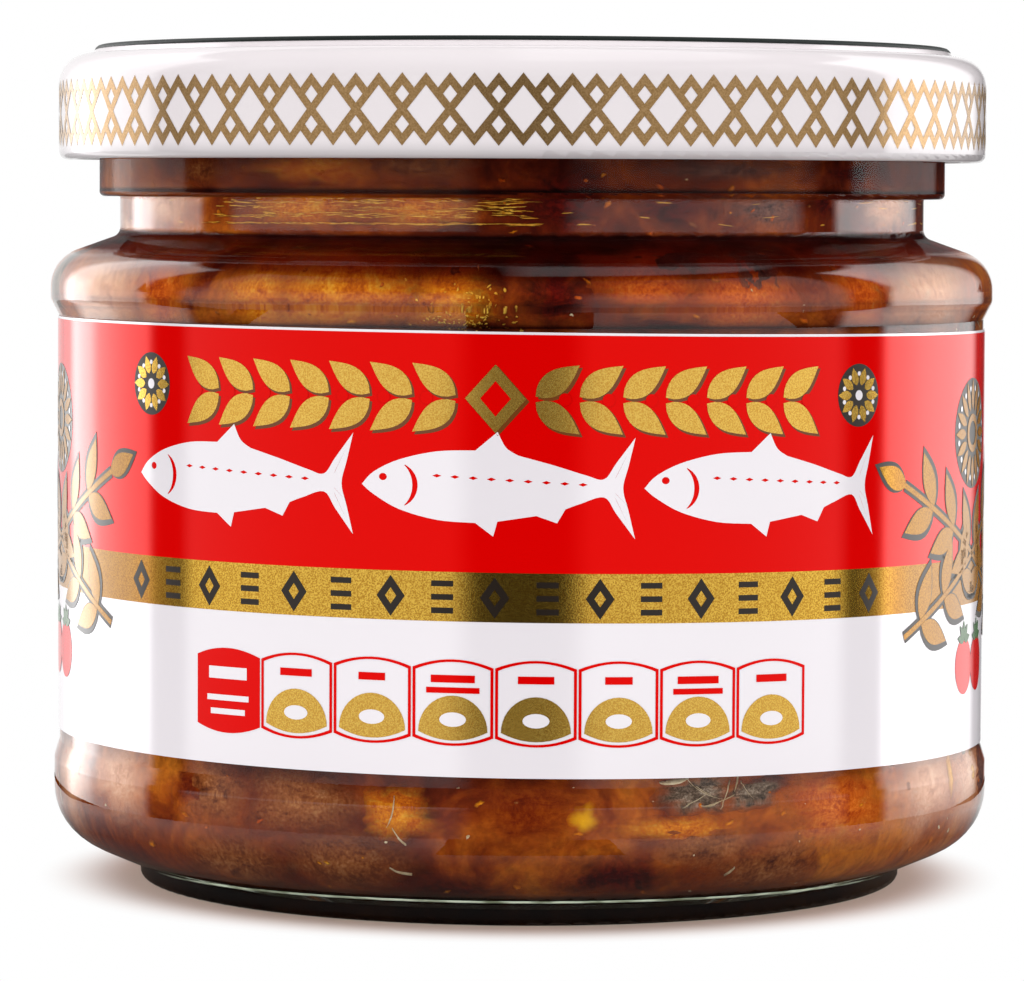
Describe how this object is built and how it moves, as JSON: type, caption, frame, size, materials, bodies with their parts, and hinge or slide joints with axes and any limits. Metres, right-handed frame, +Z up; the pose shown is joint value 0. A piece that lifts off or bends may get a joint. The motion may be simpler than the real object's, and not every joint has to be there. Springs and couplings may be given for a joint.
{
  "type": "jar of sardines in tomato sauce",
  "caption": "Squat clear glass jar filled with fish in tomato sauce, with a white patterned twist-off metal lid and a red, gold and white wrap-round label.",
  "frame": {"origin": "centre of the base, on the plane that the jar stands on", "axes": "+Z up along the jar's axis, -Y towards the front of the label, +X to the right of it"},
  "size_m": [0.0874, 0.0874, 0.0769],
  "materials": {
    "clear_glass": "smooth clear soda-lime glass, faintly green at its edges",
    "fish_in_sauce": "wet, mottled amber to red-brown fish and oily tomato sauce",
    "label_paper": "gloss varnished paper printed red and white with a gold foil band",
    "lid_enamel": "gloss white enamel on tinplate with a gold lattice printed round the skirt"
  },
  "bodies": {
    "root": {"glass_jar": "clear_glass", "contents": "fish_in_sauce", "label": "label_paper", "lid": "lid_enamel"}
  },
  "joints": []
}
